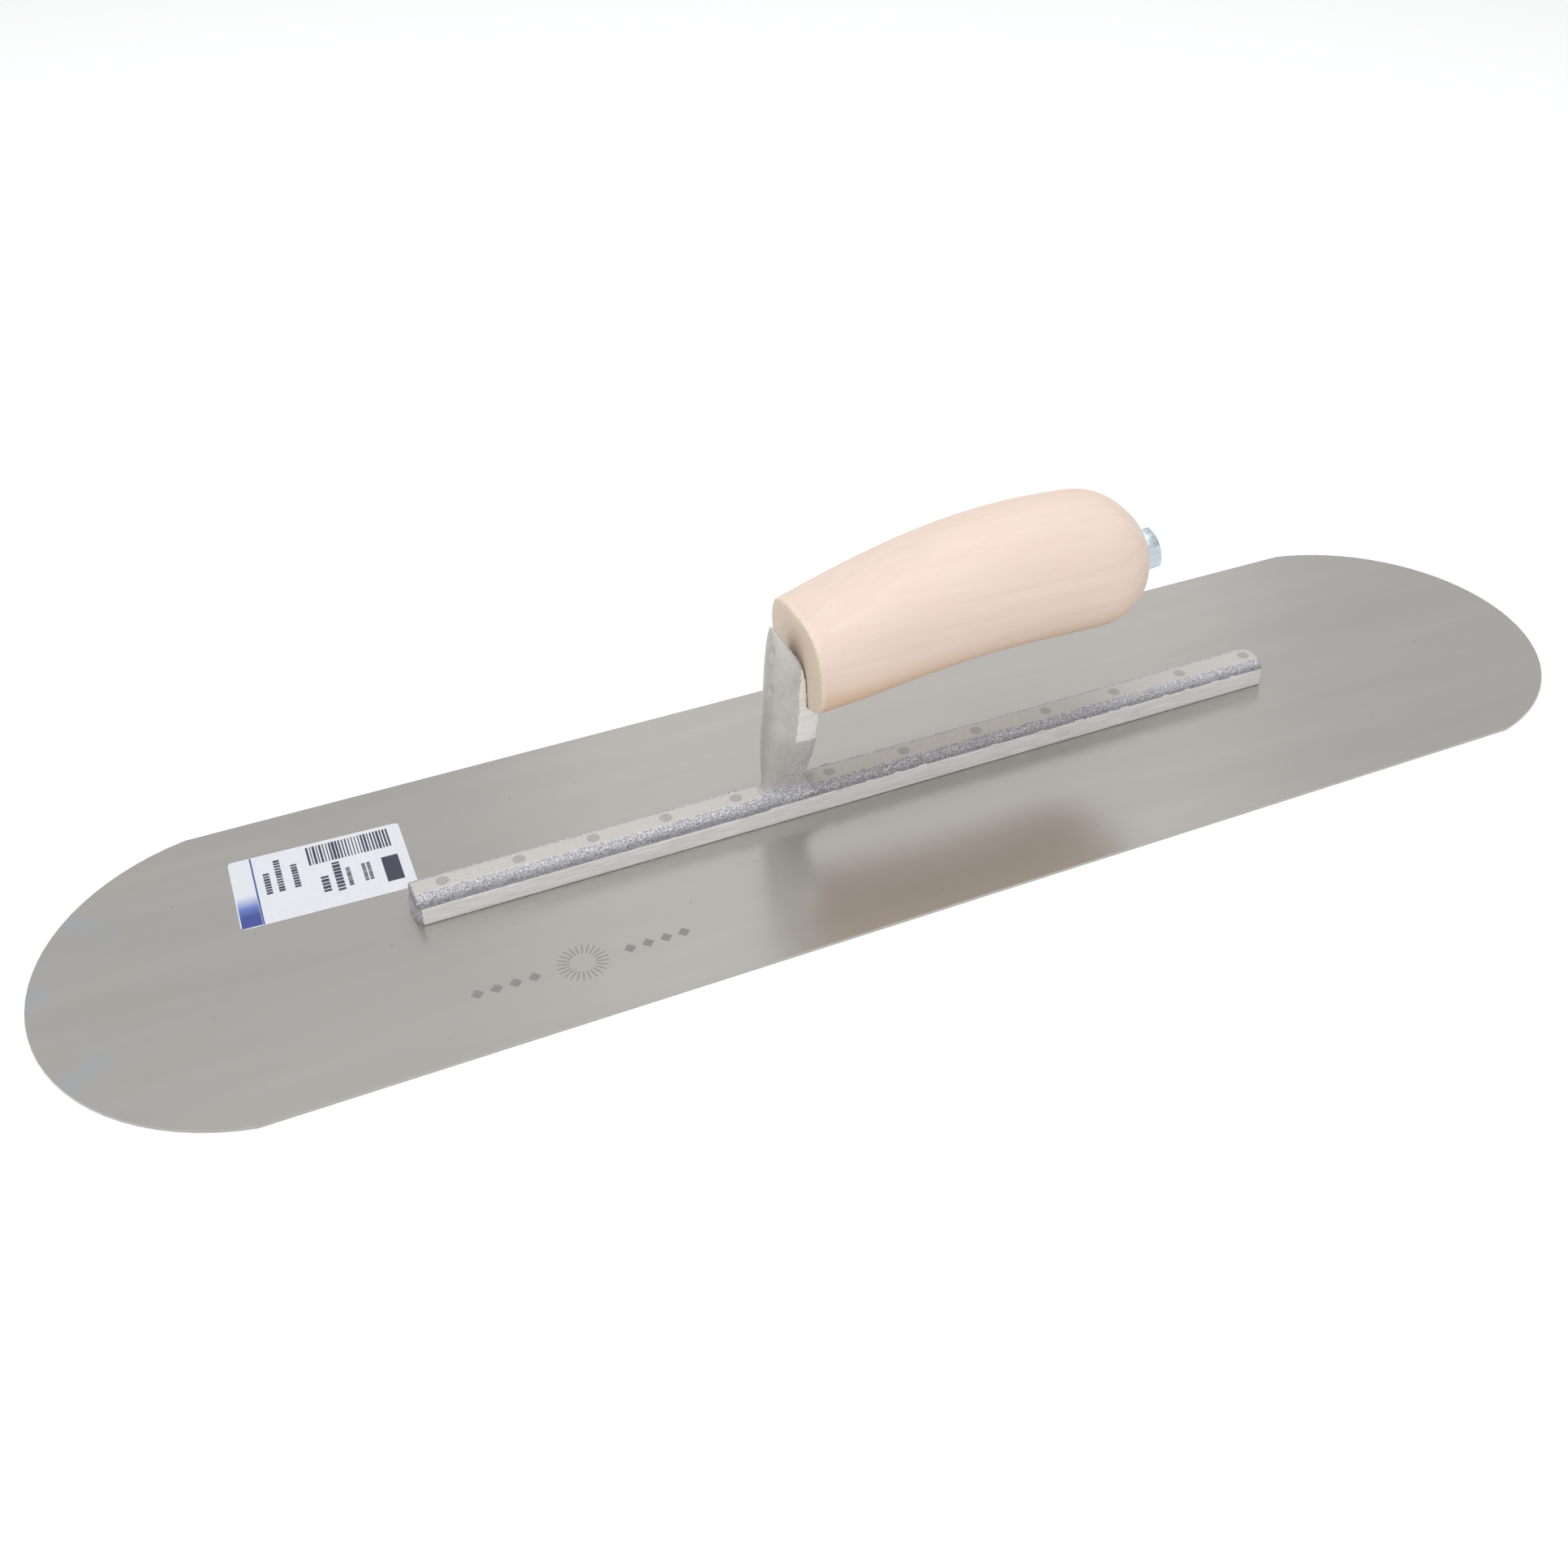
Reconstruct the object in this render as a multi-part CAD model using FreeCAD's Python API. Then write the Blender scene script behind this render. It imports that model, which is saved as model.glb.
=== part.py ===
import FreeCAD, Part
import math
import os
from FreeCAD import Vector

# Steel finishing trowel, millimetres.
# Origin: centre of the blade's bottom (working) face.  +X runs along the blade towards the
# end that the handle's bolt head faces, +Y is across the blade, +Z is up.

# ---- blade -------------------------------------------------------------------------------
blade_length = 508.0
blade_width = 127.0
blade_thickness = 0.8
blade_end_radius = 65.2          # slightly more than half the width, so a soft corner remains

# ---- cast mounting: the bar along the blade -----------------------------------------------
bar_toe_x = -149.0
bar_heel_x = 145.0
bar_half_width = 6.7
bar_top_z = 9.8
toe_side_height = 6.8            # top of the belt-ground side, toe stretch
toe_top_half_width = 3.0         # half width of the ground flat on top, toe stretch
heel_side_height = 7.4
heel_top_half_width = 3.2
bar_ledge = 0.3                  # step between the ground side and the rough shoulder
shoulder_bulge = 0.3             # how far the rough shoulder bows out
toe_nose = 2.4                   # how far the toe end bows out, seen from above
toe_lean = 1.6                   # how far its face leans back over the bar's height
heel_corner = 4.8                # plan chamfer of the heel's far corner, across the bar
heel_corner_run = 3.8            # and along it

# ---- cast mounting: the neck ----------------------------------------------------------------
# Level sections from the bar up: height, front ridge x, back x, half width.  They run on
# behind the neck's back outline, which trims them.
neck_sections = [(6.6, -41.6, -17.4, 7.3), (8.4, -40.0, -19.6, 7.0), (10.6, -38.6, -22.0, 5.0),
                 (13.4, -38.0, -22.8, 4.7), (17.5, -38.1, -21.4, 5.3), (22.5, -38.0, -20.2, 6.1),
                 (28.0, -37.7, -19.2, 6.8), (36.0, -37.1, -18.0, 6.95), (44.0, -36.4, -17.6, 6.95),
                 (50.0, -35.9, -17.6, 6.9), (54.5, -35.5, -18.0, 6.8), (58.0, -35.1, -18.8, 6.5),
                 (62.0, -34.6, -20.6, 5.6), (65.5, -34.0, -23.6, 4.0), (68.2, -33.5, -27.0, 2.2)]
# Back of the neck from the foot up, x and z: it bows in above the flare and stands upright
# up to the grip.
neck_back = [(-17.4, 6.0), (-19.8, 8.4), (-23.2, 10.8), (-25.5, 14.0), (-24.9, 18.0),
             (-23.6, 23.0), (-22.2, 30.0), (-21.0, 38.5), (-21.0, 44.0)]
tip_lean_bottom_z = 52.0                # from here up it leans away from the grip's front
tip_lean_top_z = 69.5
tip_lean = 9.1                          # how far it leans away in all
tip_lean_power = 1.5                    # above 1 it leans faster towards the tip
tip_lean_steps = 5
neck_back_share = 0.22                  # share of each section's depth that is squarer behind
neck_back_power = 0.6
neck_side_power = 0.9
ground_half_thickness = 6.7             # neck and bar are ground to the same two side planes
tenon_radius = 5.8
tenon_start = -0.3
tenon_length = 14.0

# ---- rivets ---------------------------------------------------------------------------------
rivet_shank_radius = 1.5
rivet_head_radius = 1.95
rivet_head_depth = 0.9
rivet_foot_radius = 2.3
rivet_foot_height = 0.6
toe_rivets = 5
toe_rivet_first_x = -138.4
toe_rivet_pitch = 22.86
heel_rivets = 7
heel_rivet_first_x = -15.4
heel_rivet_pitch = 26.13

# ---- handle and bolt ------------------------------------------------------------------
axis_start = Vector(-25.5, 0, 49.5)     # the bolt's axis near the grip's front face
axis_tilt = 6.07                        # degrees, rising towards the heel
handle_length = 118.46                  # from there to the rear flat, along the bolt's axis
front_face_point = Vector(-25.5, 0, 54.0)
front_face_tilt = 2.5                   # degrees, the grip's front leans forward at the top
# Upright sections of the grip: station x, underside, top, width over height, squareness.
handle_sections = [(-32.0, 38.9, 68.9, 1.22, 3.0), (-25.0, 40.3, 71.2, 1.19, 2.9),
                   (-12.0, 41.0, 75.5, 1.12, 2.7), (4.0, 42.6, 80.5, 1.06, 2.5),
                   (20.0, 43.8, 84.3, 1.02, 2.35), (38.0, 44.4, 86.9, 0.99, 2.25),
                   (54.0, 43.9, 87.5, 0.97, 2.2), (68.0, 43.2, 86.9, 0.97, 2.15),
                   (78.0, 43.4, 84.8, 0.97, 2.1), (84.6, 45.8, 80.2, 0.96, 2.1),
                   (88.8, 49.2, 75.4, 0.95, 2.1), (91.0, 52.6, 72.0, 0.94, 2.0),
                   (92.4, 55.0, 70.0, 0.94, 2.0), (93.8, 58.5, 66.0, 0.95, 2.0)]
section_points = 40
bore_radius = 4.35
seat_clearance = 0.1
bolt_radius = 3.95
thread_radius = 3.9
thread_clearance = 0.03
plain_shank_start = 16.0                # the thread ends here, past the end of the tenon
fuse_overlap = 1.0                      # stretches of the same solid run this far into each other
bolt_reach = 5.6                        # how far the bolt's tip goes past the handle's front
hole_reach = 6.6                        # bottom of the tapped hole
head_across_flats = 12.7
head_height = 5.3
head_chamfer = 30.0                     # degrees
head_corner_angle = 145.0               # a corner points up and towards -Y
head_face_share = 0.95                  # chamfered face over the width across flats
cut_past = 30.0                         # cutting tools run this far past what they cut

# ---- label -----------------------------------------------------------------------------------
label_length = 51.2
label_width = 32.6
label_thickness = 0.12
label_corner = 1.4
label_centre = (-168.6, 29.0)
label_turn = -2.1                       # degrees, stuck on slightly askew

axis_direction = Vector(math.cos(math.radians(axis_tilt)), 0, math.sin(math.radians(axis_tilt)))


def along_axis(distance):
    """Point on the bolt's axis at a distance behind the handle's front face."""
    return axis_start + axis_direction * distance


def axis_cylinder(radius, start, end):
    return Part.makeCylinder(radius, end - start, along_axis(start), axis_direction)


def closed_face(edges):
    return Part.Face(Part.Wire(edges))


def polygon_face(points):
    return Part.Face(Part.makePolygon(list(points) + [points[0]]))


def make_blade():
    centre_x = blade_length / 2 - blade_end_radius
    half = blade_width / 2
    corner_x = centre_x + math.sqrt(blade_end_radius ** 2 - half ** 2)
    tip_x = blade_length / 2
    edges = [Part.makeLine(Vector(-corner_x, -half, 0), Vector(corner_x, -half, 0)),
             Part.Arc(Vector(corner_x, -half, 0), Vector(tip_x, 0, 0),
                      Vector(corner_x, half, 0)).toShape(),
             Part.makeLine(Vector(corner_x, half, 0), Vector(-corner_x, half, 0)),
             Part.Arc(Vector(-corner_x, half, 0), Vector(-tip_x, 0, 0),
                      Vector(-corner_x, -half, 0)).toShape()]
    return closed_face(edges).extrude(Vector(0, 0, blade_thickness))


def bar_stretch(x_start, x_end, side_height, top_half_width):
    """A stretch of the bar: ground sides, rough bowed shoulders and a ground flat on top."""
    ledge_y = bar_half_width - bar_ledge
    middle_y = (ledge_y + top_half_width) / 2 + shoulder_bulge
    middle_z = (side_height + bar_top_z) / 2 + shoulder_bulge
    bottom_z = blade_thickness

    def at(y, z):
        return Vector(x_start, y, z)

    edges = [Part.makeLine(at(-bar_half_width, bottom_z), at(bar_half_width, bottom_z)),
             Part.makeLine(at(bar_half_width, bottom_z), at(bar_half_width, side_height)),
             Part.makeLine(at(bar_half_width, side_height), at(ledge_y, side_height)),
             Part.Arc(at(ledge_y, side_height), at(middle_y, middle_z),
                      at(top_half_width, bar_top_z)).toShape(),
             Part.makeLine(at(top_half_width, bar_top_z), at(-top_half_width, bar_top_z)),
             Part.Arc(at(-top_half_width, bar_top_z), at(-middle_y, middle_z),
                      at(-ledge_y, side_height)).toShape(),
             Part.makeLine(at(-ledge_y, side_height), at(-bar_half_width, side_height)),
             Part.makeLine(at(-bar_half_width, side_height), at(-bar_half_width, bottom_z))]
    return closed_face(edges).extrude(Vector(x_end - x_start, 0, 0))


def make_bar():
    middle_x = (neck_sections[0][1] + neck_sections[0][2]) / 2
    toe = bar_stretch(bar_toe_x, middle_x, toe_side_height, toe_top_half_width)
    heel = bar_stretch(middle_x, bar_heel_x, heel_side_height, heel_top_half_width)
    side = bar_half_width
    toe_near = Vector(bar_toe_x + toe_nose, -side, 0)
    toe_far = Vector(bar_toe_x + toe_nose, side, 0)
    corners = [toe_near,
               Vector(bar_heel_x, -side, 0),
               Vector(bar_heel_x, side - heel_corner, 0),
               Vector(bar_heel_x - heel_corner_run, side, 0),
               toe_far]
    edges = [Part.makeLine(start, end) for start, end in zip(corners, corners[1:])]
    edges.append(Part.Arc(toe_far, Vector(bar_toe_x, 0, 0), toe_near).toShape())
    plan_prism = closed_face(edges).extrude(Vector(0, 0, bar_top_z * 2))
    lean_line = [Vector(bar_toe_x, -side * 2, 0),
                 Vector(bar_heel_x, -side * 2, 0),
                 Vector(bar_heel_x, -side * 2, bar_top_z * 2),
                 Vector(bar_toe_x + toe_lean * 2, -side * 2, bar_top_z * 2)]
    lean_prism = polygon_face(lean_line).extrude(Vector(0, side * 4, 0))
    return toe.fuse(heel).common(plan_prism).common(lean_prism)


def closed_curve(points):
    curve = Part.BSplineCurve()
    curve.interpolate(points, PeriodicFlag=True)
    return Part.Wire(curve.toShape())


def bent_power(value, exponent):
    return math.copysign(abs(value) ** exponent, value)


def neck_wire(z, front_x, back_x, half_width):
    """Level section of the neck: half an ellipse in front, squarer behind."""
    back_part = (back_x - front_x) * neck_back_share
    middle_x = back_x - back_part
    points = []
    for i in range(section_points):
        turn = 2 * math.pi * i / section_points
        along = math.cos(turn)
        across = half_width * bent_power(math.sin(turn), neck_side_power)
        if along > 0:
            shift = back_part * bent_power(along, neck_back_power)
        else:
            shift = (middle_x - front_x) * along
        points.append(Vector(middle_x + shift, across, z))
    return closed_curve(points)


def neck_back_points():
    """The neck's back outline: the listed foot and upright, then the leaning tip by a rule."""
    points = list(neck_back)
    for i in range(tip_lean_steps + 1):
        share = i / tip_lean_steps
        points.append((front_face_point.x - tip_lean * share ** tip_lean_power,
                       tip_lean_bottom_z + (tip_lean_top_z - tip_lean_bottom_z) * share))
    return points


def make_neck(handle_blank):
    """Upright neck in front of the handle: rounded in front, ground flat on both sides."""
    neck = Part.makeLoft([neck_wire(*section) for section in neck_sections], True, False)
    front_x = neck_sections[0][1] - cut_past
    side = Vector(0, -cut_past, 0)
    back = Part.BSplineCurve()
    outline_points = [Vector(x, 0, z) + side for x, z in neck_back_points()]
    back.interpolate(outline_points)
    foot = outline_points[0]
    tip = outline_points[-1]
    below = Vector(front_x, 0, foot.z) + side
    above = Vector(front_x, 0, tip.z) + side
    outline = [back.toShape(), Part.makeLine(tip, above), Part.makeLine(above, below),
               Part.makeLine(below, foot)]
    neck = neck.common(closed_face(outline).extrude(side * -2))
    slab = Part.makeBox(2 * cut_past, 2 * ground_half_thickness, 3 * cut_past,
                        Vector(-2 * cut_past, -ground_half_thickness, 0))
    return neck.common(slab).cut(handle_blank)


def rivet_positions():
    toe = [toe_rivet_first_x + i * toe_rivet_pitch for i in range(toe_rivets)]
    heel = [heel_rivet_first_x + i * heel_rivet_pitch for i in range(heel_rivets)]
    return toe + heel


def make_rivet(x):
    """Stud standing on the blade through the bar, its top spread flush in a countersink."""
    base = Vector(x, 0, blade_thickness)
    foot = Part.makeCylinder(rivet_foot_radius, rivet_foot_height, base)
    shank = Part.makeCylinder(rivet_shank_radius, bar_top_z - blade_thickness, base)
    cone = Part.makeCone(rivet_shank_radius, rivet_head_radius,
                         rivet_head_depth, Vector(x, 0, bar_top_z - rivet_head_depth))
    return foot.fuse(shank).fuse(cone).removeSplitter()


def make_mounting(handle_blank):
    casting = make_bar().fuse(make_neck(handle_blank))
    casting = casting.fuse(axis_cylinder(tenon_radius, tenon_start, tenon_length))
    for x in rivet_positions():
        casting = casting.cut(make_rivet(x))
    casting = casting.cut(axis_cylinder(thread_radius + thread_clearance, -hole_reach, cut_past))
    return casting.removeSplitter()


def handle_wire(x, underside, top, width_ratio, squareness):
    """Upright section of the grip: a flattened oval, its points evenly spread in angle."""
    middle = (underside + top) / 2
    half_height = (top - underside) / 2
    half_width = half_height * width_ratio
    points = []
    for i in range(section_points):
        turn = 2 * math.pi * i / section_points
        reach = (abs(math.cos(turn) / half_height) ** squareness
                 + abs(math.sin(turn) / half_width) ** squareness) ** (-1 / squareness)
        points.append(Vector(x, reach * math.sin(turn), middle + reach * math.cos(turn)))
    return closed_curve(points)


def behind_front_face():
    """Large round block on the heel side of the grip's front face."""
    tilt = math.radians(front_face_tilt)
    facing = Vector(math.cos(tilt), 0, math.sin(tilt))
    return Part.makeCylinder(3 * cut_past, 7 * cut_past, front_face_point, facing)


def make_handle_blank():
    """Camel-back grip before drilling: humped on top, gently bowed below."""
    body = Part.makeLoft([handle_wire(*row) for row in handle_sections], True, False)
    before_rear_flat = axis_cylinder(2 * cut_past, -cut_past, handle_length)
    return body.common(behind_front_face()).common(before_rear_flat)


def make_handle(blank):
    """Wooden grip bored for the bolt and for the neck's tenon."""
    grip = blank.cut(axis_cylinder(bore_radius, -cut_past, handle_length + cut_past))
    socket_end = tenon_length + seat_clearance
    return grip.cut(axis_cylinder(tenon_radius + seat_clearance, -cut_past, socket_end))


def make_bolt():
    """Long hex-headed bolt with a chamfered head."""
    corner_radius = head_across_flats / math.sqrt(3)
    start = along_axis(handle_length)
    sideways = Vector(0, 1, 0)
    upward = axis_direction.cross(sideways) * -1
    corners = []
    for i in range(6):
        turn = math.radians(head_corner_angle + 60 * i)
        corners.append(start + sideways * (corner_radius * math.cos(turn))
                       + upward * (-corner_radius * math.sin(turn)))
    head = polygon_face(corners).extrude(axis_direction * head_height)
    slope = math.tan(math.radians(head_chamfer))
    face_radius = head_across_flats / 2 * head_face_share
    cone_length = 2 * head_height
    cone_radius = face_radius + cone_length / slope
    chamfer = Part.makeCone(cone_radius, face_radius, cone_length,
                            along_axis(handle_length + head_height - cone_length),
                            axis_direction)
    head = head.common(chamfer)
    shank = axis_cylinder(bolt_radius, plain_shank_start, handle_length + fuse_overlap)
    thread = axis_cylinder(thread_radius, -bolt_reach, plain_shank_start + fuse_overlap)
    return head.fuse(shank).fuse(thread).removeSplitter()


def make_label():
    """Thin sticker with rounded corners."""
    half_x = label_length / 2
    half_y = label_width / 2
    sticker = Part.makeBox(label_length, label_width, label_thickness,
                           Vector(-half_x, -half_y, blade_thickness))
    upright = [edge for edge in sticker.Edges
               if abs(edge.Vertexes[0].Z - edge.Vertexes[-1].Z) > label_thickness / 2]
    sticker = sticker.makeFillet(label_corner, upright)
    sticker.rotate(Vector(0, 0, 0), Vector(0, 0, 1), label_turn)
    sticker.translate(Vector(label_centre[0], label_centre[1], 0))
    return sticker


def export(name, shape):
    if shape.ShapeType == "Compound" and len(shape.Solids) == 1:
        shape = shape.Solids[0]
    if not shape.isValid():
        print("invalid shape:", name)
    box = shape.optimalBoundingBox(False, False)
    print("%-14s solids %d  volume %10.1f mm3  x %.1f..%.1f  y %.1f..%.1f  z %.1f..%.1f" % (
        name, len(shape.Solids), shape.Volume, box.XMin, box.XMax, box.YMin, box.YMax,
        box.ZMin, box.ZMax))
    shape.exportStep("parts/%s.step" % name)


def main():
    os.makedirs("parts", exist_ok=True)
    export("blade", make_blade())
    blank = make_handle_blank()
    export("mounting", make_mounting(blank))
    export("handle", make_handle(blank))
    export("handle_bolt", make_bolt())
    export("label", make_label())
    for number, x in enumerate(rivet_positions(), start=1):
        export("rivet_%02d" % number, make_rivet(x))


main()
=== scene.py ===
import math

import bmesh
import bpy
from mathutils import Matrix, Vector, noise


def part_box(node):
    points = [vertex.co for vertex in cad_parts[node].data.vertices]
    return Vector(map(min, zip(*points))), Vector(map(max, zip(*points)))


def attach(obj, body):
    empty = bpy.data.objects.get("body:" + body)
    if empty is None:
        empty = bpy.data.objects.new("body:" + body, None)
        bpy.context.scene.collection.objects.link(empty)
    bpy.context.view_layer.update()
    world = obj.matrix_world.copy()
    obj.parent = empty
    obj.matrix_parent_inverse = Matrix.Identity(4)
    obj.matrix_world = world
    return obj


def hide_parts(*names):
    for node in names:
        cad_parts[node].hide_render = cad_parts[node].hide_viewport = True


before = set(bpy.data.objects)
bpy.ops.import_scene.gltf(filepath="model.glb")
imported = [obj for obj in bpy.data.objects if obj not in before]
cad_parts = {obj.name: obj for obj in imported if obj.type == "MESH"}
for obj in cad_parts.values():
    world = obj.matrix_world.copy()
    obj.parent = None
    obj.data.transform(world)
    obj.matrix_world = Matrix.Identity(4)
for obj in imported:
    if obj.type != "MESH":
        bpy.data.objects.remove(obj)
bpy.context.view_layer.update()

# Finishing trowel: a satin stainless blade, a ground and rough-cast alloy mounting, a basswood
# grip, a zinc-plated bolt and a printed sticker.  Metres throughout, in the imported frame.

MM = 0.001

blade_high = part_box("blade")[1]
casting_low, casting_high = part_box("mounting")
grip_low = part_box("handle")[0]
label_low, label_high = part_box("label")
BLADE_TOP = blade_high.z
SIDE_Y = casting_high.y                  # the ground side planes of bar and neck
RIVET_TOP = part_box("rivet_01")[1].z      # the ground top of the bar
RIVETS = sorted(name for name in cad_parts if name.startswith("rivet_"))


# ---- small helpers --------------------------------------------------------------------------

def srgb(code):
    """Linear colour with alpha from a six-digit sRGB hex value."""
    parts = [int(code[i:i + 2], 16) / 255 for i in (0, 2, 4)]
    linear = [c / 12.92 if c <= 0.04045 else ((c + 0.055) / 1.055) ** 2.4 for c in parts]
    return (*linear, 1.0)


def add_node(tree, kind, inputs=None, **settings):
    """One node with its settings; an input is a value, or the socket that feeds it."""
    node = tree.nodes.new(kind)
    for key, value in settings.items():
        setattr(node, key, value)
    for key, value in (inputs or {}).items():
        if isinstance(value, bpy.types.NodeSocket):
            tree.links.new(value, node.inputs[key])
        else:
            node.inputs[key].default_value = value
    return node


def ramp(tree, factor, stops):
    """Colour ramp from (position, colour) stops."""
    node = add_node(tree, "ShaderNodeValToRGB", {"Fac": factor})
    elements = node.color_ramp.elements
    while len(elements) < len(stops):
        elements.new(0.5)
    for element, (position, colour) in zip(elements, stops):
        element.position = position
        element.color = colour
    return node.outputs["Color"]


def new_material(name):
    """Material with a cleared tree, returning it with its tree and shader."""
    material = bpy.data.materials.new(name)
    material.use_nodes = True
    tree = material.node_tree
    tree.nodes.clear()
    shader = add_node(tree, "ShaderNodeBsdfPrincipled")
    output = add_node(tree, "ShaderNodeOutputMaterial")
    tree.links.new(shader.outputs["BSDF"], output.inputs["Surface"])
    return material, tree, shader


def object_coords(tree, scale=(1, 1, 1)):
    coords = add_node(tree, "ShaderNodeTexCoord")
    mapping = add_node(tree, "ShaderNodeMapping", {
        "Vector": coords.outputs["Object"], "Scale": scale})
    return mapping.outputs["Vector"]


def noise_value(tree, vector, scale=1.0, detail=3.0, roughness=0.5, distortion=0.0):
    node = add_node(tree, "ShaderNodeTexNoise", {
        "Vector": vector, "Scale": scale, "Detail": detail,
        "Roughness": roughness, "Distortion": distortion})
    return node.outputs["Fac"]


def mix_colours(tree, factor, first, second):
    node = add_node(tree, "ShaderNodeMix", data_type="RGBA")
    for index, value in ((0, factor), (6, first), (7, second)):
        if isinstance(value, bpy.types.NodeSocket):
            tree.links.new(value, node.inputs[index])
        else:
            node.inputs[index].default_value = value
    return node.outputs[2]


def maths(tree, operation, first, second=0.0, third=0.0):
    node = add_node(tree, "ShaderNodeMath", {0: first, 1: second, 2: third},
                    operation=operation)
    return node.outputs[0]


def smooth_step(tree, value, low, high):
    """0 below low, 1 above high, smooth between."""
    node = add_node(tree, "ShaderNodeMapRange", {
        "Value": value, "From Min": low, "From Max": high},
        interpolation_type="SMOOTHSTEP", clamp=True)
    return node.outputs["Result"]


def bump(tree, height, distance, strength=1.0):
    node = add_node(tree, "ShaderNodeBump", {
        "Height": height, "Distance": distance, "Strength": strength})
    return node.outputs["Normal"]


def per_mm(x, y, z):
    """Mapping scale that makes one noise cell that many millimetres along each axis."""
    return (1 / (x * MM), 1 / (y * MM), 1 / (z * MM))


# ---- materials ------------------------------------------------------------------------------

def make_blade_steel():
    """Cold-rolled stainless sheet, belt-polished lengthwise to a satin.

    The polish marks run along the blade, so reflections smear across it.  Real marks are
    about 0.05 mm wide; they are drawn at 0.35 mm so that they show at all.
    """
    material, tree, shader = new_material("satin_stainless_steel")
    marks = noise_value(tree, object_coords(tree, per_mm(90, 0.35, 5)), detail=4.0,
                        roughness=0.6)
    broad = noise_value(tree, object_coords(tree, per_mm(140, 14, 30)), detail=2.0)
    cloud = noise_value(tree, object_coords(tree, per_mm(55, 38, 40)), detail=3.0)
    steel = ramp(tree, broad, [(0.3, srgb("B1AEA9")), (0.7, srgb("B6B3AE"))])
    streaked = mix_colours(tree, maths(tree, "MULTIPLY", marks, 0.22), steel, srgb("9C9994"))

    # Rolling-oil and heat stains: a blue and tan blush at the toe end.
    along = add_node(tree, "ShaderNodeSeparateXYZ", {
        "Vector": add_node(tree, "ShaderNodeTexCoord").outputs["Object"]}).outputs["X"]
    toe = smooth_step(tree, along, -205 * MM, -250 * MM)
    stain = maths(tree, "MULTIPLY", toe, smooth_step(tree, cloud, 0.50, 0.66))
    stained = mix_colours(tree, maths(tree, "MULTIPLY", stain, 0.35), streaked,
                          srgb("9FB0C6"))
    tan = maths(tree, "MULTIPLY", toe, smooth_step(tree, cloud, 0.50, 0.36))
    stained = mix_colours(tree, maths(tree, "MULTIPLY", tan, 0.25), stained, srgb("B9A183"))

    # Pits: dark points about 0.5 mm across, some 11 mm apart.
    cells = add_node(tree, "ShaderNodeTexVoronoi", {
        "Vector": object_coords(tree), "Scale": 1 / (11 * MM), "Randomness": 1.0},
        feature="F1")
    pits = smooth_step(tree, cells.outputs["Distance"], 0.034, 0.020)
    pitted = mix_colours(tree, maths(tree, "MULTIPLY", pits, 0.55), stained, srgb("6E6C68"))
    tree.links.new(pitted, shader.inputs["Base Color"])
    tree.links.new(maths(tree, "MULTIPLY_ADD", marks, 0.05, 0.225),
                   shader.inputs["Roughness"])
    tree.links.new(bump(tree, marks, 0.004 * MM, 0.3), shader.inputs["Normal"])
    shader.inputs["Metallic"].default_value = 0.74
    return material


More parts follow.
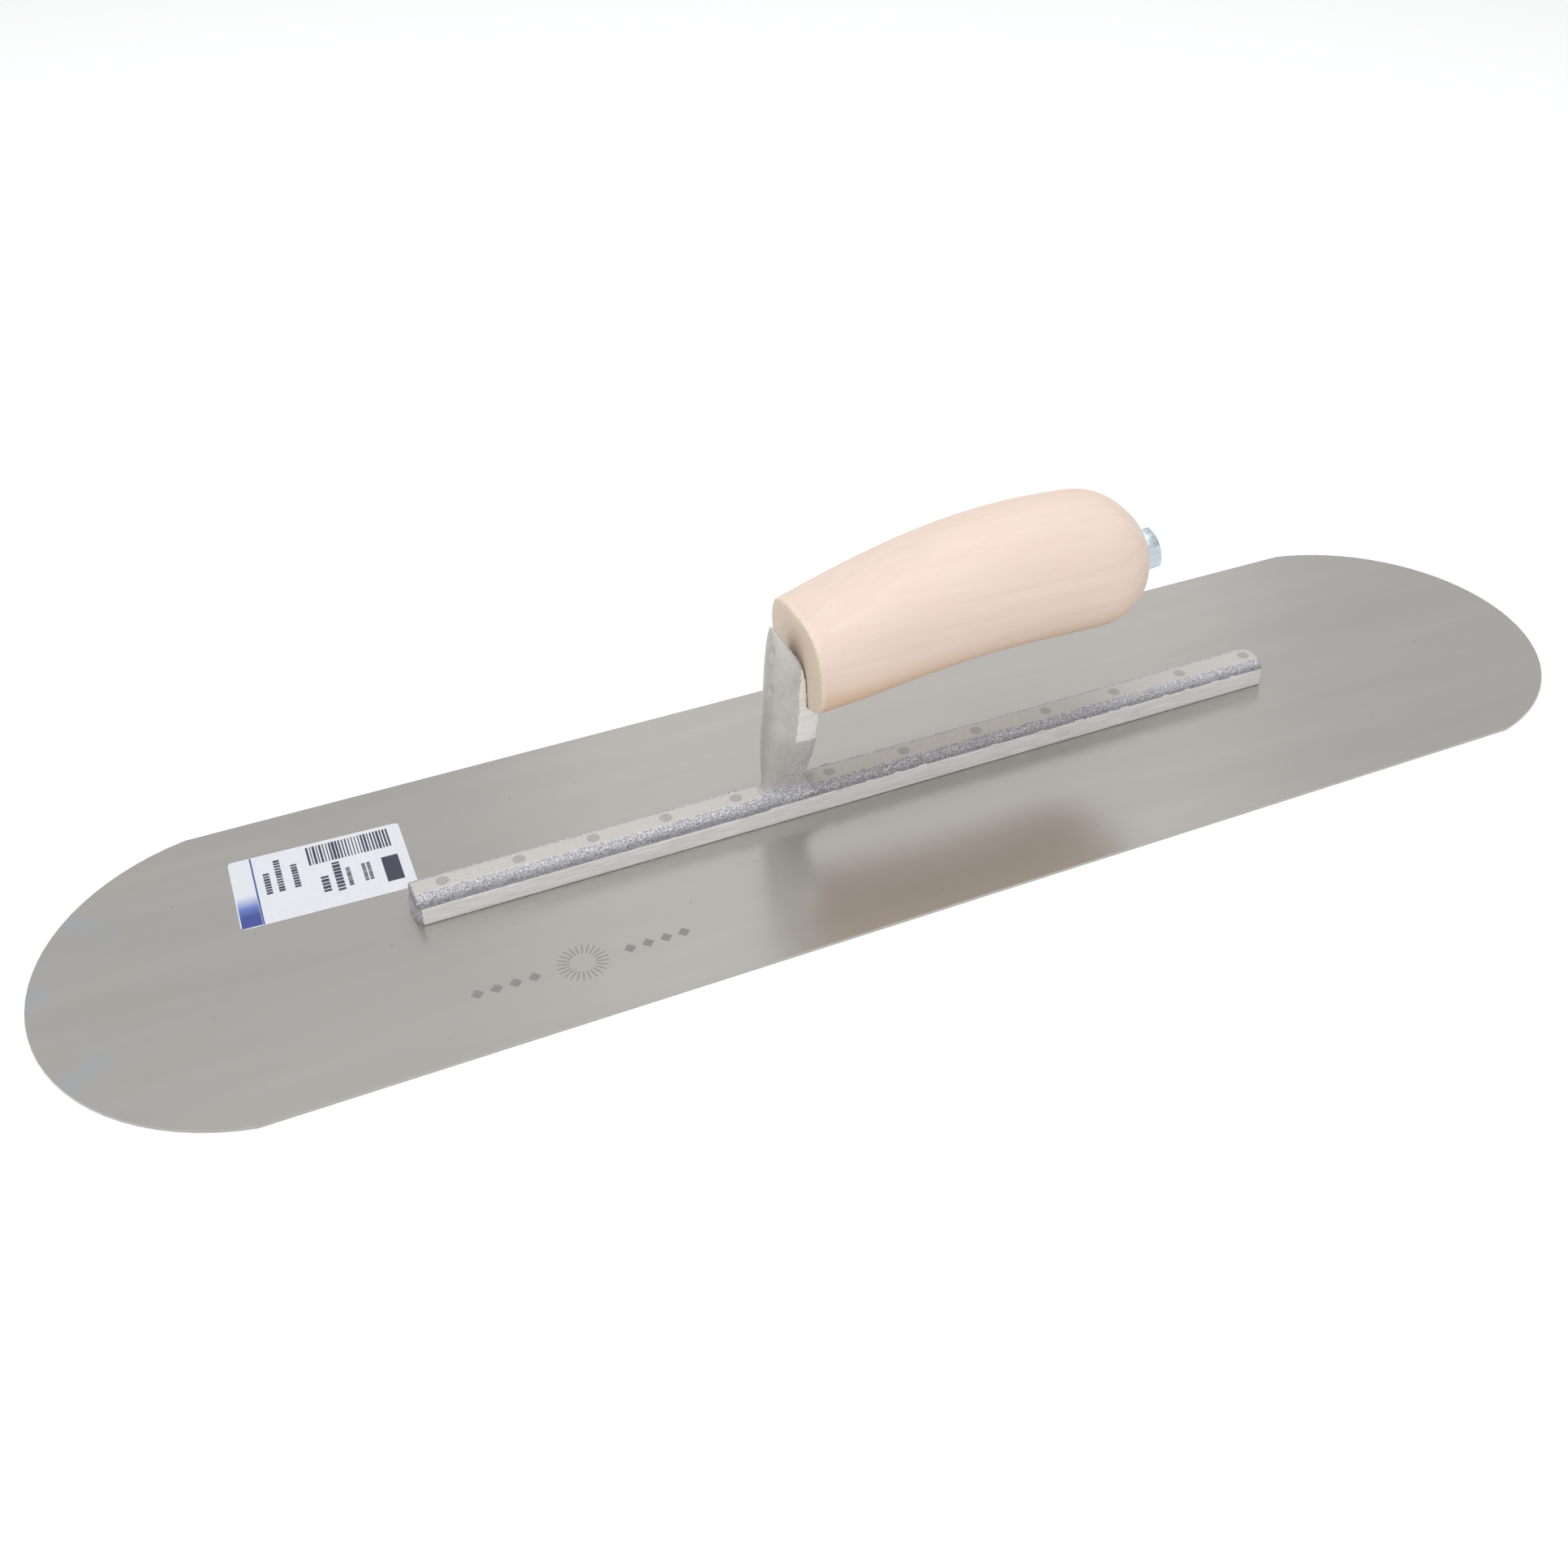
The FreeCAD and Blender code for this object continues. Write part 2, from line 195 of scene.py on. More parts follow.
def make_cast_alloy():
    """Sand-cast aluminium alloy, belt-ground on the sides and top.

    Attribute 'ground' is 1 on ground faces, and 'linished' is 1 on the neck's smooth front;
    what is left is sand skin, with grain of about 0.45 mm.
    """
    material, tree, shader = new_material("cast_alloy_ground_and_sand_skin")
    ground = add_node(tree, "ShaderNodeAttribute", attribute_name="ground").outputs["Fac"]
    linished = add_node(tree, "ShaderNodeAttribute",
                        attribute_name="linished").outputs["Fac"]

    belt = noise_value(tree, object_coords(tree, per_mm(9, 9, 0.30)), detail=4.0,
                       roughness=0.65)
    belt_top = noise_value(tree, object_coords(tree, per_mm(2.2, 0.30, 5)), detail=3.0)
    # Painted light and shade: the ground sides get a brighter colour and the ground top a
    # darker one, though both are the same ground alloy.
    belt_tone_and_painted_light = ramp(tree, belt, [(0.32, srgb("CFCECA")), (0.68, srgb("F4F3F1"))])
    facing = add_node(tree, "ShaderNodeAttribute", attribute_name="top").outputs["Fac"]
    top_tone_and_painted_shade = ramp(tree, belt_top, [(0.35, srgb("B6B3AE")), (0.65, srgb("C0BDB8"))])
    belt_tone_and_painted_light = mix_colours(tree, facing, belt_tone_and_painted_light, top_tone_and_painted_shade)

    grain = noise_value(tree, object_coords(tree, per_mm(0.45, 0.45, 0.45)), detail=4.0,
                        roughness=0.6)
    patches = noise_value(tree, object_coords(tree, per_mm(4, 3, 3)), detail=3.0)
    skin = ramp(tree, grain, [(0.36, srgb("7A7980")), (0.50, srgb("B4B3B8")),
                              (0.64, srgb("EAE9EC"))])
    skin = mix_colours(tree, maths(tree, "MULTIPLY", patches, 0.26), skin, srgb("92919A"))
    # The skin is paler from 10.2 mm up, fully above 13 mm, on the neck, and darker along the
    # bottom of the bar's shoulder, from 6.2 mm up, fading out by 9.2 mm.
    height = add_node(tree, "ShaderNodeSeparateXYZ", {
        "Vector": add_node(tree, "ShaderNodeTexCoord").outputs["Object"]}).outputs["Z"]
    upper = smooth_step(tree, height, 10.2 * MM, 13.0 * MM)
    skin = mix_colours(tree, maths(tree, "MULTIPLY", upper, 0.55), skin, srgb("CBC7C2"))
    hollow = maths(tree, "MULTIPLY", smooth_step(tree, height, 6.2 * MM, 6.8 * MM),
                   smooth_step(tree, height, 9.2 * MM, 7.0 * MM))
    skin = mix_colours(tree, maths(tree, "MULTIPLY", hollow, 0.60), skin, srgb("5C5B62"))

    front = noise_value(tree, object_coords(tree, per_mm(6, 6, 9)), detail=3.0)
    scuff = noise_value(tree, object_coords(tree, per_mm(0.5, 0.5, 7)), detail=3.0)
    front_colour = ramp(tree, front, [(0.3, srgb("BAB6B2")), (0.7, srgb("CCC9C5"))])
    front_colour = mix_colours(tree, maths(tree, "MULTIPLY", scuff, 0.25), front_colour,
                               srgb("A09D99"))
    speck = noise_value(tree, object_coords(tree, per_mm(0.6, 0.6, 0.6)), detail=2.0)
    front_colour = mix_colours(
        tree, maths(tree, "MULTIPLY", smooth_step(tree, speck, 0.60, 0.72), 0.5),
        front_colour, srgb("8B8986"))

    colour = mix_colours(tree, linished, skin, front_colour)
    colour = mix_colours(tree, ground, colour, belt_tone_and_painted_light)
    tree.links.new(colour, shader.inputs["Base Color"])

    rough = maths(tree, "MULTIPLY_ADD", linished, -0.14, 0.62)
    rough = maths(tree, "MULTIPLY_ADD", ground, -0.16, rough)
    tree.links.new(maths(tree, "MAXIMUM", rough, 0.38), shader.inputs["Roughness"])

    not_skin = maths(tree, "MAXIMUM", ground, linished)
    skin_height = maths(tree, "MULTIPLY", grain,
                        maths(tree, "SUBTRACT", 1.0, not_skin))
    belt_height = maths(tree, "MULTIPLY", belt, maths(tree, "MULTIPLY", not_skin, 0.12))
    tree.links.new(bump(tree, maths(tree, "ADD", skin_height, belt_height), 0.26 * MM, 0.85),
                   shader.inputs["Normal"])
    tree.links.new(maths(tree, "MULTIPLY_ADD", ground, -0.25, 0.50),
                   shader.inputs["Metallic"])
    return material


def make_rivet_steel():
    """Mild steel stud ends ground flush: darker than the alloy round them, finely scratched."""
    material, tree, shader = new_material("ground_rivet_steel")
    scratch = noise_value(tree, object_coords(tree, per_mm(1.6, 0.22, 2)), detail=3.0)
    colour = ramp(tree, scratch, [(0.3, srgb("9E9B98")), (0.7, srgb("ACA9A6"))])
    tree.links.new(colour, shader.inputs["Base Color"])
    tree.links.new(maths(tree, "MULTIPLY_ADD", scratch, 0.15, 0.42),
                   shader.inputs["Roughness"])
    shader.inputs["Metallic"].default_value = 0.45
    return material


def make_basswood():
    """Basswood (limewood), turned and sanded, nearly unfinished.

    Even and pale: long faint growth lines 3 to 4 mm apart, fine 0.3 mm pores lengthwise, and
    end grain on the front face that drinks in light and reads darker and browner.
    """
    material, tree, shader = new_material("sanded_basswood")
    long_grain = noise_value(tree, object_coords(tree, per_mm(70, 3.4, 3.4)), detail=3.0,
                             distortion=0.4)
    pores = noise_value(tree, object_coords(tree, per_mm(5, 0.32, 0.32)), detail=3.0,
                        roughness=0.6)
    blush = noise_value(tree, object_coords(tree, per_mm(28, 16, 16)), detail=2.0)
    wood = ramp(tree, long_grain, [(0.30, srgb("D8C3B4")), (0.50, srgb("DBC7BA")),
                                   (0.72, srgb("DECBBE"))])
    blush = smooth_step(tree, blush, 0.45, 0.7)
    wood = mix_colours(tree, maths(tree, "MULTIPLY", blush, 0.35), wood, srgb("DDC4B5"))
    pore_marks = maths(tree, "MULTIPLY", smooth_step(tree, pores, 0.55, 0.75), 0.16)
    wood = mix_colours(tree, pore_marks, wood, srgb("C4AA92"))

    position = add_node(tree, "ShaderNodeTexCoord").outputs["Object"]
    along = add_node(tree, "ShaderNodeSeparateXYZ", {"Vector": position})
    end_face = smooth_step(tree, along.outputs["X"], grip_low.x + 2.4 * MM,
                           grip_low.x + 1.2 * MM)
    rings = noise_value(tree, object_coords(tree, per_mm(1.0, 1.5, 0.5)), detail=4.0)
    end_colour = ramp(tree, rings, [(0.3, srgb("D6C3B0")), (0.7, srgb("E2D0BF"))])
    # Painted shade: the grip's underside is darkened to an orange-tan, starting below 60 mm and
    # strongest below 42 mm.
    underside_painted_shade = smooth_step(tree, along.outputs["Z"], 60 * MM, 42 * MM)
    wood = mix_colours(tree, maths(tree, "MULTIPLY", underside_painted_shade, 0.85), wood, srgb("CFAC88"))
    colour = mix_colours(tree, end_face, wood, end_colour)
    tree.links.new(colour, shader.inputs["Base Color"])
    tree.links.new(maths(tree, "MULTIPLY_ADD", pores, 0.12, 0.54),
                   shader.inputs["Roughness"])
    tree.links.new(bump(tree, pores, 0.05 * MM, 0.35), shader.inputs["Normal"])
    shader.inputs["IOR"].default_value = 1.5
    return material


def make_zinc_plate():
    """Bright zinc with clear passivate on cold-headed steel: bluish, faintly mottled."""
    material, tree, shader = new_material("bright_zinc_plate")
    mottled = noise_value(tree, object_coords(tree, per_mm(1.4, 1.4, 1.4)), detail=4.0)
    colour = ramp(tree, mottled, [(0.3, srgb("B4BDC5")), (0.7, srgb("CBD5DD"))])
    tree.links.new(colour, shader.inputs["Base Color"])
    tree.links.new(maths(tree, "MULTIPLY_ADD", mottled, 0.10, 0.16),
                   shader.inputs["Roughness"])
    tree.links.new(bump(tree, mottled, 0.02 * MM, 0.25), shader.inputs["Normal"])
    shader.inputs["Metallic"].default_value = 1.0
    return material


def make_label_paper():
    """Coated label paper, blue-white, with a faint 0.6 mm orange peel."""
    material, tree, shader = new_material("coated_label_paper")
    peel = noise_value(tree, object_coords(tree, per_mm(0.6, 0.6, 0.6)), detail=2.0)
    colour = ramp(tree, peel, [(0.3, srgb("CCCFD4")), (0.7, srgb("D3D6DB"))])
    tree.links.new(colour, shader.inputs["Base Color"])
    tree.links.new(bump(tree, peel, 0.01 * MM, 0.3), shader.inputs["Normal"])
    shader.inputs["Roughness"].default_value = 0.35
    shader.inputs["IOR"].default_value = 1.5
    return material


def make_ink(name, dark, light):
    """Flexographic ink on coated paper, a little uneven in cover at 0.5 mm."""
    material, tree, shader = new_material(name)
    cover = noise_value(tree, object_coords(tree, per_mm(0.5, 0.5, 0.5)), detail=2.0)
    colour = ramp(tree, cover, [(0.3, srgb(dark)), (0.75, srgb(light))])
    tree.links.new(colour, shader.inputs["Base Color"])
    shader.inputs["Roughness"].default_value = 0.4
    shader.inputs["IOR"].default_value = 1.5
    return material


def make_band_ink(position, direction, length):
    """Printed band that fades from paper white to blue along its length."""
    material, tree, shader = new_material("graduated_blue_ink")
    centred = add_node(tree, "ShaderNodeVectorMath", {
        0: add_node(tree, "ShaderNodeTexCoord").outputs["Object"], 1: position},
        operation="SUBTRACT")
    along = add_node(tree, "ShaderNodeVectorMath", {
        0: centred.outputs["Vector"], 1: direction}, operation="DOT_PRODUCT")
    share = maths(tree, "DIVIDE", along.outputs["Value"], length)
    colour = ramp(tree, maths(tree, "ADD", share, 0.5),
                  [(0.16, srgb("33448A")), (0.28, srgb("5A70B2")), (0.46, srgb("CED1D7"))])
    tree.links.new(colour, shader.inputs["Base Color"])
    shader.inputs["Roughness"].default_value = 0.38
    shader.inputs["IOR"].default_value = 1.5
    return material


def make_etched_steel():
    """Electrolytic etch on stainless: the same steel made matt and a shade darker."""
    material, tree, shader = new_material("etched_stainless_steel")
    frost = noise_value(tree, object_coords(tree, per_mm(0.4, 0.4, 0.4)), detail=3.0)
    colour = ramp(tree, frost, [(0.3, srgb("878380")), (0.7, srgb("9A9693"))])
    tree.links.new(colour, shader.inputs["Base Color"])
    shader.inputs["Metallic"].default_value = 0.9
    shader.inputs["Roughness"].default_value = 0.62
    return material


# ---- mesh helpers ---------------------------------------------------------------------------

def link_object(name, mesh, material):
    piece = bpy.data.objects.new(name, mesh)
    bpy.context.scene.collection.objects.link(piece)
    mesh.materials.clear()
    mesh.materials.append(material)
    return piece


def merged_copy(nodes, name):
    """One welded mesh of several CAD nodes."""
    bm = bmesh.new()
    for node in nodes:
        bm.from_mesh(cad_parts[node].data)
    bmesh.ops.remove_doubles(bm, verts=bm.verts, dist=0.002 * MM)
    mesh = bpy.data.meshes.new(name)
    bm.to_mesh(mesh)
    bm.free()
    return mesh


def with_modifiers(piece, *modifiers):
    """Replaces the piece's mesh with what the modifiers, (kind, settings) pairs, make of it."""
    for kind, settings in modifiers:
        modifier = piece.modifiers.new(kind, kind)
        for key, value in settings.items():
            setattr(modifier, key, value)
    bpy.context.view_layer.update()
    graph = bpy.context.evaluated_depsgraph_get()
    mesh = bpy.data.meshes.new_from_object(piece.evaluated_get(graph))
    piece.modifiers.clear()
    piece.data = mesh
    return piece


def shade_smooth(mesh):
    mesh.polygons.foreach_set("use_smooth", [True] * len(mesh.polygons))
    mesh.update()


def ease(value, low, high):
    """Smooth step from 0 at low to 1 at high; low may be the larger."""
    share = min(1.0, max(0.0, (value - low) / (high - low)))
    return share * share * (3 - 2 * share)


def finish_piece(piece, slot, *replaced):
    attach(piece, "root")
    if replaced:
        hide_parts(*replaced)
    return piece


# ---- the casting ----------------------------------------------------------------------------

CASTING_VOXEL = 0.46 * MM
WANDER_SIZE = 2.5 * MM                   # size of the waves along hand-ground edges
FACET_DEPTH = 0.30 * MM                  # surface this near the side planes counts as ground
FACET_FACING = 0.8
NECK_CLEAR = 0.8 * MM                    # the neck is what stands this far above the bar
NECK_MARGIN = 4 * MM
LINISH_BLUR = 0.5 * MM                   # half width of the linished front's soft edge
TOP_INSET = 0.012 * MM                   # keeps the rivet ends just clear of the bar's top
TOE_FACE_DEPTH = 3.4 * MM
COARSE_SIZE, COARSE_HEIGHT = 1.6 * MM, 0.16     # sand skin: size of grain, height in mm
FINE_SIZE, FINE_HEIGHT = 0.7 * MM, 0.10
SKIN_SINK = 0.10                         # mm the skin is lowered, so that it stays inside
RIDGE_ROUGHNESS = 2.2                    # how much rougher the neck's side ridges are
TOE_FLAT, HEEL_FLAT = 3.0, 3.2           # half width of the flat ground on the bar's top
TOE_LEDGE, HEEL_LEDGE = 6.8, 7.4         # height of the ground sides
NECK_FRONT_X = -38.2 * MM
NECK_BACK_X = -21.0 * MM
FLARE_TOP = 13.5 * MM
FACET_BOTTOM = 29.3 * MM                 # the neck's ground sides begin here
# The linished front ends along this line, x by height, on both sides of the neck.
LINISH_LINE = [(13.0, -36.0), (17.9, -32.2), (22.1, -29.1), (28.5, -26.8), (70.0, -26.0)]
# Dents left by trapped sand on the neck's front: centre, half height, half width, depth.
DENTS = [((-35.6, -2.2, 60.0), 1.9, 0.6, 0.9), ((-36.5, -2.6, 47.5), 1.7, 0.6, 0.8)]
# Rounded lumps on both shoulders beside the neck, where the cutter ran out: x, radius, rise.
LUMPS = [(-46.5, 3.2, 0.45), (-15.0, 2.6, 0.40)]
# Burrs where the grinding belt stopped short of the neck: x, reach along the bar, height.
BURRS = [(-39.6, 1.9, 0.9), (-21.0, 1.7, 0.8)]


def linish_edge(height):
    """x of the linished front's rear edge at a height, both in metres."""
    height_mm = height / MM
    for (z0, x0), (z1, x1) in zip(LINISH_LINE, LINISH_LINE[1:]):
        if height_mm <= z1:
            share = max(0.0, (height_mm - z0) / (z1 - z0))
            return (x0 + (x1 - x0) * share) * MM
    return LINISH_LINE[-1][1] * MM


def make_casting(material):
    """Bar and neck with a real sand skin, flat ground faces, dents and burrs."""
    mesh = merged_copy(["mounting"] + RIVETS, "cast_mounting")
    piece = link_object("cast_mounting", mesh, material)
    with_modifiers(piece, ("REMESH", {"mode": "VOXEL", "voxel_size": CASTING_VOXEL,
                                      "use_smooth_shade": True}))
    mesh = piece.data
    mesh.materials.clear()
    mesh.materials.append(material)
    normals = [vertex.normal.copy() for vertex in mesh.vertices]
    ground = []
    linished = []
    tops = []
    for vertex, normal in zip(mesh.vertices, normals):
        x, y, z = vertex.co
        wander = noise.noise(Vector((x, y, z)) / WANDER_SIZE)
        on_neck = z > RIVET_TOP + NECK_CLEAR and x < NECK_BACK_X + NECK_MARGIN
        facet = abs(y) > SIDE_Y - FACET_DEPTH and abs(normal.y) > FACET_FACING
        if on_neck:
            is_ground = facet and z > FACET_BOTTOM + 0.7 * MM * wander
            front = ease(x + 0.5 * MM * wander, linish_edge(z) + LINISH_BLUR,
                         linish_edge(z) - LINISH_BLUR) if z > FLARE_TOP - 3 * MM else 0.0
        else:
            toe_stretch = x < NECK_FRONT_X
            flat_half = (TOE_FLAT if toe_stretch else HEEL_FLAT) * MM + 0.22 * MM * wander
            ledge = (TOE_LEDGE if toe_stretch else HEEL_LEDGE) * MM
            top = abs(z - RIVET_TOP) < 0.5 * MM and abs(y) < flat_half
            side = facet and z < ledge + 0.12 * MM * wander
            is_ground = top or side
            front = 0.0
        toe_face = x < casting_low.x + TOE_FACE_DEPTH and normal.x < -0.5
        is_ground = is_ground and not toe_face
        tops.append(1.0 if is_ground and not facet else 0.0)
        if is_ground:
            if facet:
                vertex.co.y = math.copysign(SIDE_Y, y)
            else:
                vertex.co.z = RIVET_TOP - TOP_INSET
        elif z > BLADE_TOP + 0.4 * MM:
            ridge = on_neck and z > FACET_BOTTOM and 5.4 * MM < abs(y) and front < 0.6
            coarse = noise.noise(Vector((x, y, z)) / COARSE_SIZE)
            coarse *= RIDGE_ROUGHNESS if ridge else 1.0
            fine = noise.noise(Vector((x, y, z)) / FINE_SIZE)
            skin = (COARSE_HEIGHT * coarse + FINE_HEIGHT * fine - SKIN_SINK) * MM
            vertex.co += normal * skin * (1 - front)
        ground.append(1.0 if is_ground else 0.0)
        linished.append(0.0 if is_ground else front)

        for centre, half_height, half_width, depth in DENTS:
            offset = (vertex.co - Vector(centre) * MM) / MM
            reach = (offset.z / half_height) ** 2 + (offset.y / half_width) ** 2
            if reach < 4 and abs(offset.x) < 3:
                vertex.co += Vector((1, 0, 0)) * depth * MM * math.exp(-1.5 * reach)
        shoulder = 6.9 * MM < z < 9.5 * MM and abs(y) > 3.6 * MM and not is_ground
        for lump_x, radius, rise in LUMPS:
            away = abs(x / MM - lump_x) / radius
            if shoulder and away < 1:
                vertex.co += normal * rise * MM * ease(away, 1.0, 0.0)
        for burr_x, reach, height in BURRS:
            if abs(x - burr_x * MM) < reach * MM and z > RIVET_TOP - 0.5 * MM and not on_neck:
                rise = math.cos((x / MM - burr_x) / reach * math.pi / 2)
                ragged = 0.6 + 0.8 * noise.noise(Vector((x, y, 0)) / (0.8 * MM))
                edge = ease(abs(y), 4.4 * MM, 2.2 * MM)
                vertex.co.z += height * MM * rise * edge * max(0.0, ragged)
    for name, values in (("ground", ground), ("linished", linished), ("top", tops)):
        attribute = mesh.attributes.new(name, "FLOAT", "POINT")
        attribute.data.foreach_set("value", values)
    shade_smooth(mesh)
    return finish_piece(piece, "cast_alloy", "mounting")


# ---- the grip and the bolt ------------------------------------------------------------------

GRIP_VOXEL = 0.62 * MM
SANDING_WAVE = 22 * MM                   # length of the waviness that hand sanding leaves
SANDING_DEPTH = 0.06                     # mm
BOLT_EDGE = 0.28 * MM
BEVEL_FROM_ANGLE = math.radians(24)
SHARP_FROM_ANGLE = math.radians(14)


def make_grip(material):
    """The wooden grip: eased edges and the slight waviness of hand sanding."""
    mesh = merged_copy(["handle"], "wooden_grip")
    piece = link_object("wooden_grip", mesh, material)
    with_modifiers(piece, ("REMESH", {"mode": "VOXEL", "voxel_size": GRIP_VOXEL,
                                      "use_smooth_shade": True}),
                   ("SMOOTH", {"factor": 0.5, "iterations": 2}))
    mesh = piece.data
    mesh.materials.clear()
    mesh.materials.append(material)
    normals = [vertex.normal.copy() for vertex in mesh.vertices]
    for vertex, normal in zip(mesh.vertices, normals):
        wave = noise.noise(vertex.co / SANDING_WAVE)
        vertex.co -= normal * (SANDING_DEPTH + SANDING_DEPTH * wave) * MM
    shade_smooth(mesh)
    return finish_piece(piece, "basswood", "handle")


def make_bolt(material):
    """The bolt with its cold-headed edges broken by a small radius."""
    mesh = merged_copy(["handle_bolt"], "hex_bolt")
    piece = link_object("hex_bolt", mesh, material)
    with_modifiers(piece, ("BEVEL", {"width": BOLT_EDGE, "segments": 3,
                                     "limit_method": "ANGLE",
                                     "angle_limit": BEVEL_FROM_ANGLE}))
    piece.data.materials.clear()
    piece.data.materials.append(material)
    shade_smooth(piece.data)
    piece.data.set_sharp_from_angle(angle=SHARP_FROM_ANGLE)
    return finish_piece(piece, "zinc_plate", "handle_bolt")


# ---- rows of printed bars and dashes --------------------------------------------------------

def make_row_tree():
    """Boxes in a row along X, of random width within limits, ending as one mesh."""
    tree = bpy.data.node_groups.new("row_of_bars", "GeometryNodeTree")
    face = tree.interface
    face.new_socket("Geometry", in_out="OUTPUT", socket_type="NodeSocketGeometry")
    for label, kind in (("Count", "NodeSocketInt"), ("Pitch", "NodeSocketFloat"),
                        ("Least Width", "NodeSocketFloat"), ("Most Width", "NodeSocketFloat"),
                        ("Height", "NodeSocketFloat"), ("Thickness", "NodeSocketFloat"),
                        ("Seed", "NodeSocketInt"), ("Material", "NodeSocketMaterial")):
        face.new_socket(label, in_out="INPUT", socket_type=kind)
    given = add_node(tree, "NodeGroupInput").outputs
    step = add_node(tree, "ShaderNodeCombineXYZ", {"X": given["Pitch"]})
    line = add_node(tree, "GeometryNodeMeshLine", {
        "Count": given["Count"], "Offset": step.outputs["Vector"]}, mode="OFFSET")
    size = add_node(tree, "ShaderNodeCombineXYZ", {
        "X": 1.0, "Y": given["Height"], "Z": given["Thickness"]})
    block = add_node(tree, "GeometryNodeMeshCube", {"Size": size.outputs["Vector"]})
    width = add_node(tree, "FunctionNodeRandomValue", {
        "Min": given["Least Width"], "Max": given["Most Width"], "Seed": given["Seed"]},
        data_type="FLOAT")
    stretch = add_node(tree, "ShaderNodeCombineXYZ", {
        "X": next(s for s in width.outputs if s.type == "VALUE" and s.enabled),
        "Y": 1.0, "Z": 1.0})
    placed = add_node(tree, "GeometryNodeInstanceOnPoints", {
        "Points": line.outputs["Mesh"], "Instance": block.outputs["Mesh"],
        "Scale": stretch.outputs["Vector"]})
    real = add_node(tree, "GeometryNodeRealizeInstances", {
        "Geometry": placed.outputs["Instances"]})
    painted = add_node(tree, "GeometryNodeSetMaterial", {
        "Geometry": real.outputs["Geometry"], "Material": given["Material"]})
    add_node(tree, "NodeGroupOutput", {"Geometry": painted.outputs["Geometry"]})
    return tree


def row_of_bars(tree, material, **values):
    """Mesh of one row, starting at the origin and running along +X."""
    holder = bpy.data.objects.new("row", bpy.data.meshes.new("row"))
    bpy.context.scene.collection.objects.link(holder)
    modifier = holder.modifiers.new("row", "NODES")
    modifier.node_group = tree
    settings = {name.replace("_", " ").title(): value for name, value in values.items()}
    settings["Material"] = material
    for item in tree.interface.items_tree:
        if item.in_out == "INPUT" and item.name in settings:
            modifier[item.identifier] = settings[item.name]
    bpy.context.view_layer.update()
    graph = bpy.context.evaluated_depsgraph_get()
    mesh = bpy.data.meshes.new_from_object(holder.evaluated_get(graph))
    bpy.data.objects.remove(holder)
    return mesh


def joined(name, parts, material):
    """One piece from (mesh, matrix) pairs."""
    bm = bmesh.new()
    for mesh, matrix in parts:
        moved = mesh.copy()
        moved.transform(matrix)
        bm.from_mesh(moved)
        bpy.data.meshes.remove(moved)
    bmesh.ops.recalc_face_normals(bm, faces=bm.faces)
    mesh = bpy.data.meshes.new(name)
    bm.to_mesh(mesh)
    bm.free()
    return link_object(name, mesh, material)


def slab(length, width, thickness):
    """Closed flat box centred on the origin."""
    bm = bmesh.new()
    bmesh.ops.create_cube(bm, size=1.0, matrix=Matrix.Diagonal((length, width, thickness, 1)))
    mesh = bpy.data.meshes.new("slab")
    bm.to_mesh(mesh)
    bm.free()
    return mesh


# ---- the sticker's print --------------------------------------------------------------------

LABEL_TURN = math.radians(-2.1)
INK = 0.012 * MM                         # thickness that stands for the printed ink
BAND_ACROSS = -22.35                     # mm from the sticker's centre to the band's
LABEL_CENTRE = Vector(((label_low.x + label_high.x) / 2, (label_low.y + label_high.y) / 2, 0))


def on_label(across, up, turn=0.0):
    """Place on the sticker in millimetres from its centre, ink lying on the paper."""
    place = Matrix.Translation(Vector((LABEL_CENTRE.x, LABEL_CENTRE.y,
                                       label_high.z + INK / 2)))
    turned = Matrix.Rotation(LABEL_TURN, 4, "Z")
    local = Matrix.Translation(Vector((across * MM, up * MM, 0)))
    return place @ turned @ local @ Matrix.Rotation(math.radians(turn), 4, "Z")


def print_label(row_tree, black, blue):
    """Generic print: a fading band, a rule, rows of dashes for text, bars and a dark box."""
    bars = row_of_bars(row_tree, black, count=26, pitch=0.96 * MM, least_width=0.25 * MM,
                       most_width=0.85 * MM, height=9.0 * MM, thickness=INK, seed=4)
    finish_piece(joined("label_bars", [(bars, on_label(-2.6, 10.2))], black), "label_paper")

    texts = []
    # Each block of greeked text reads across the sticker: place, rows, dashes, dash length.
    blocks = [(-15.6, -2.5, 1, 8, 1.0), (-12.0, -2.5, 1, 12, 1.0), (-7.4, -2.5, 1, 9, 1.0),
              (0.4, -8.0, 1, 5, 1.25), (4.4, -9.0, 1, 9, 1.25), (7.4, -8.0, 1, 10, 0.7),
              (12.0, -7.6, 2, 11, 0.6)]
    for seed, (across, start, rows, dashes, length) in enumerate(blocks):
        for row in range(rows):
            dash = row_of_bars(row_tree, black, count=dashes, pitch=length * 1.30 * MM,
                               least_width=length * 0.75 * MM, most_width=length * 1.20 * MM,
                               height=length * 1.80 * MM, thickness=INK, seed=20 + seed)
            texts.append((dash, on_label(across + row * 1.5, start, 90)))
    finish_piece(joined("label_text_dashes", texts, black), "label_paper")

    box = slab(5.0 * MM, 12.2 * MM, INK)
    finish_piece(joined("label_dark_box", [(box, on_label(20.0, -5.0))], black),
                 "label_paper")
    rule = slab(0.5 * MM, 32.2 * MM, INK)
    finish_piece(joined("label_rule", [(rule, on_label(-19.1, 0))], blue), "label_paper")

    band_length = 31.9 * MM
    centre = on_label(BAND_ACROSS, 0).translation
    band_ink = make_band_ink(centre, Matrix.Rotation(LABEL_TURN, 3, "Z") @ Vector((0, 1, 0)),
                             band_length)
    band = slab(5.8 * MM, band_length, INK)
    finish_piece(joined("label_band", [(band, on_label(BAND_ACROSS, 0))], band_ink),
                 "label_paper")


# ---- the etched ornament --------------------------------------------------------------------

ETCH = 0.012 * MM
ETCH_CENTRE = Vector((-110.2, -40.9, 0)) * MM
ETCH_TURN = math.radians(-0.3)


